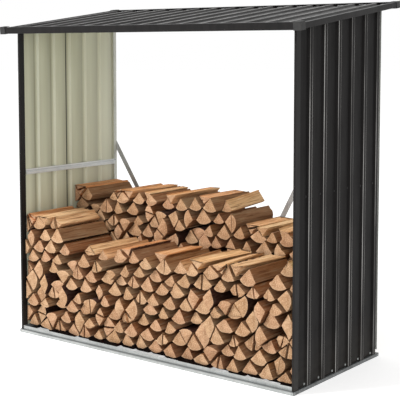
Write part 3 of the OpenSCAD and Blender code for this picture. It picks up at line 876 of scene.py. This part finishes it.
def sawn_colour(mat):
    """Pale end grain: growth rings round the heart, stains, saw marks and a lighter rim, with
    painted shade on the ground splits.
    """
    wobble = noise(mat, grain_place(mat), (45, 0, 45), 3)
    rings = maths(mat, "ADD", maths(mat, "MULTIPLY", heart_distance(mat), 1500.0),
                  maths(mat, "MULTIPLY", wobble, 6.0))
    rings = between(mat, maths(mat, "SINE", rings), 0.1, 0.9, 0, 0.25)
    base = blend(mat, tone(mat, "X"), rgb(214, 175, 138), rgb(186, 146, 108))
    base = blend(mat, maths(mat, "MULTIPLY", tone(mat, "Y"), 0.5), base, rgb(186, 132, 106))
    blotches = noise(mat, grain_place(mat), (32, 0, 32), 4)
    base = blend(mat, between(mat, blotches, 0.42, 0.68, 0, 0.6), base, rgb(146, 106, 74))
    base = blend(mat, rings, base, rgb(124, 88, 56))
    part = maths(mat, "DIVIDE", heart_distance(mat), tone(mat, "Z"))
    base = blend(mat, between(mat, part, 0.72, 1.0, 0, 0.5), base, rgb(218, 184, 150))
    saw = noise(mat, grain_place(mat), (30, 0, 260), 3)
    base = blend(mat, between(mat, saw, 0.5, 0.68, 0, 0.5), base, rgb(136, 94, 60))
    flecks = noise(mat, grain_place(mat), (190, 0, 190), 4)
    base = blend(mat, between(mat, flecks, 0.5, 0.66, 0, 0.6), base, rgb(228, 198, 162))
    return blend(mat, between(mat, painted_stack_shade(mat), 0.9, 0.95), base, rgb(24, 12, 8))


def wood_roughness(mat):
    return between(mat, noise(mat, grain_place(mat), (90, 0, 90), 2), 0.3, 0.7, 0.75, 0.92)


def sawn_height(mat):
    saw = noise(mat, grain_place(mat), (30, 0, 420), 3)
    fuzz = noise(mat, grain_place(mat), (500, 0, 500), 3)
    return maths(mat, "ADD", saw, fuzz)


def split_colour(mat):
    """Torn fibres along the log: tan sapwood outside, redder heartwood inside, darkened by painted
    shade inside the stack.
    """
    part = maths(mat, "DIVIDE", heart_distance(mat), tone(mat, "Z"))
    fibres = noise(mat, grain_place(mat), (170, 7, 170), 5, 0.66)
    bands = noise(mat, grain_place(mat), (60, 3, 60), 4)
    base = blend(mat, between(mat, part, 0.2, 0.95), rgb(230, 168, 108), rgb(244, 206, 158))
    base = blend(mat, maths(mat, "MULTIPLY", tone(mat, "X"), 0.8), base, rgb(228, 196, 154))
    base = blend(mat, maths(mat, "MULTIPLY", tone(mat, "Y"), 0.6), base, rgb(206, 122, 72))
    base = blend(mat, between(mat, bands, 0.45, 0.65, 0, 0.5), base, rgb(184, 122, 74))
    base = blend(mat, between(mat, fibres, 0.52, 0.66, 0, 0.75), base, rgb(120, 68, 36))
    base = blend(mat, between(mat, fibres, 0.34, 0.45, 0.75, 0), base, rgb(246, 218, 178))
    return blend(mat, painted_stack_shade(mat), base, rgb(56, 16, 10))


def split_height(mat):
    fibres = noise(mat, grain_place(mat), (300, 7, 300), 5, 0.62)
    return maths(mat, "ADD", fibres, noise(mat, grain_place(mat), (90, 4, 90), 3))


def bark_colour(mat):
    """Weathered bark: dark furrows along the log between grey-brown plates, darkened by painted
    shade inside the stack.
    """
    furrows = noise(mat, grain_place(mat), (150, 28, 150), 5, 0.65)
    lichen = noise(mat, grain_place(mat), (45, 20, 45), 3)
    base = blend(mat, between(mat, furrows, 0.38, 0.6), rgb(58, 38, 32), rgb(116, 86, 72))
    base = blend(mat, maths(mat, "MULTIPLY", tone(mat, "Y"), 0.5), base, rgb(104, 60, 42))
    base = blend(mat, between(mat, lichen, 0.58, 0.75, 0, 0.5), base, rgb(142, 124, 108))
    return blend(mat, painted_stack_shade(mat), base, rgb(34, 14, 10))


def bark_height(mat):
    return noise(mat, grain_place(mat), (150, 28, 150), 5, 0.65)


wood_finishes = [
    coating("split_wood", split_colour, wood_roughness, split_height, 1.6 * MM, specular=0.12),
    coating("rough_bark", bark_colour, wood_roughness, bark_height, 2.5 * MM, specular=0.1),
    coating("sawn_wood_end", sawn_colour, wood_roughness, sawn_height, 0.4 * MM, specular=0.12),
]


def build_logs(node_name, stack_sections):
    """One piece for all the logs of a CAD node."""
    dice = random.Random("log store " + node_name)
    centres = np.array([s[0].mean(0) for s in stack_sections])
    verts, faces, kinds, grain, tones, painted_shade_levels = [], [], [], [], [], []
    count = 0
    for section in cross_sections(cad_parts[node_name]):
        away = centres - section[0].mean(0)
        above = (np.abs(away[:, 0]) < 50 * MM) & (away[:, 1] > 20 * MM) & (away[:, 1] < 70 * MM)
        topmost = not above.any()
        # Painted shade: ground splits darkest, logs inside the stack darker, logs on top left bare
        depth = 1.0 if lies_on_ground(section[0]) else 0.0 if topmost else 0.65
        lofts, radius = build_log(section, dice, topmost)
        look = (dice.random(), dice.random() ** 2, radius)
        for log_verts, log_faces, log_kinds, log_grain in lofts:
            verts.append(log_verts)
            faces += [tuple(count + k for k in face) for face in log_faces]
            kinds += log_kinds
            grain.append(log_grain)
            tones += [look] * len(log_verts)
            painted_shade_levels += [depth] * len(log_verts)
            count += len(log_verts)
    name = node_name.replace("_logs", "_split_logs")
    mesh = make_mesh(name, np.concatenate(verts).tolist(), faces, wood_finishes)
    mesh.polygons.foreach_set("material_index", np.array(kinds, np.int32))
    for title, values in (("grain", np.concatenate(grain)), ("tone", np.array(tones))):
        layer = mesh.attributes.new(title, "FLOAT_VECTOR", "POINT")
        layer.data.foreach_set("vector", values.astype(np.float32).ravel())
    layer = mesh.attributes.new("painted_stack_shade", "FLOAT", "POINT")
    layer.data.foreach_set("value", np.array(painted_shade_levels, np.float32))
    turn_faces_out(mesh)
    shade_smooth(mesh, 38)
    piece = place_piece(name, mesh)
    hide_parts(node_name)


for stack in ("front_stack", "rear_stack"):
    stack_nodes = sorted(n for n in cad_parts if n.startswith(stack))
    stack_sections = [s for n in stack_nodes for s in cross_sections(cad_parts[n])]
    for node_name in stack_nodes:
        build_logs(node_name, stack_sections)

# ---------------------------------------------------------------------------
# Studio. A plain white floor under even white light, one broad soft lamp at the
# front left, a weaker one at the right, and the camera at eye height.


def seen_directly(mat):
    """1 for the rays by which the camera sees things, 0 for those that only light them."""
    rays = add(mat, "LightPath").outputs
    seen = maths(mat, "MAXIMUM", rays["Is Camera Ray"], rays["Is Glossy Ray"])
    return maths(mat, "MAXIMUM", seen, rays["Is Transmission Ray"])


def floor_material():
    """White floor that still takes the store's shadow."""
    mat = bpy.data.materials.new("white_floor")
    mat.use_nodes = True
    shader = mat.node_tree.nodes["Principled BSDF"]
    grain = noise(mat, where(mat), (3, 3, 3), 2)
    link = mat.node_tree.links.new
    link(blend(mat, grain, rgb(236, 236, 236), rgb(240, 240, 240)), shader.inputs["Base Color"])
    shader.inputs["Roughness"].default_value = 0.9
    shader.inputs["Specular IOR Level"].default_value = 0.0
    shader.inputs["Emission Color"].default_value = (1, 1, 1, 1)
    link(maths(mat, "MULTIPLY", seen_directly(mat), 0.5), shader.inputs["Emission Strength"])
    return mat


floor_r = 60.0
floor_sides = 96
floor_z = -0.2 * MM
floor_verts, floor_faces = lathe([(0.5 * floor_r, floor_z), (floor_r, floor_z)], floor_sides)
floor_faces[-1] = tuple(range(floor_sides))  # fills the inner ring
floor_mesh = make_mesh("floor", floor_verts, floor_faces, [floor_material()])
floor = bpy.data.objects.new("floor", floor_mesh)
bpy.context.scene.collection.objects.link(floor)

# White is what the camera sees; a dimmer white is what lights the store
world = bpy.data.worlds.new("studio")
bpy.context.scene.world = world
world.use_nodes = True
world.node_tree.nodes.clear()
dim = add(world, "Background", {0: (1.0, 0.99, 0.98, 1), 1: 0.7})
white = add(world, "Background", {0: (1, 1, 1, 1), 1: 1.0})
sky = add(world, "MixShader", {0: seen_directly(world), 1: dim.outputs[0], 2: white.outputs[0]})
add(world, "OutputWorld", {0: sky.outputs[0]})


def soft_lamp(name, place, target, width, height, watts):
    lamp = bpy.data.lights.new(name, "AREA")
    lamp.shape = "RECTANGLE"
    lamp.size = width
    lamp.size_y = height
    lamp.energy = watts
    holder = bpy.data.objects.new(name, lamp)
    holder.location = place
    holder.rotation_euler = (Vector(target) - Vector(place)).to_track_quat("-Z", "Y").to_euler()
    bpy.context.scene.collection.objects.link(holder)


soft_lamp("key", (-2.1, -3.4, 4.2), (0, 0, 0.5), 1.3, 1.3, 228)
soft_lamp("side", (3.2, -3.6, 2.0), (-0.4, 0, 0.8), 1.6, 2.4, 30)

lens = bpy.data.cameras.new("camera")
lens.lens = 95.1
lens.sensor_width = 36
lens.shift_y = -0.15
camera = bpy.data.objects.new("camera", lens)
camera.location = (2.908, -3.696, 1.33)
camera.rotation_euler = (math.radians(90 - 4.91), 0, math.radians(37.75))
bpy.context.scene.collection.objects.link(camera)
bpy.context.scene.camera = camera
bpy.context.scene.view_settings.view_transform = "Standard"
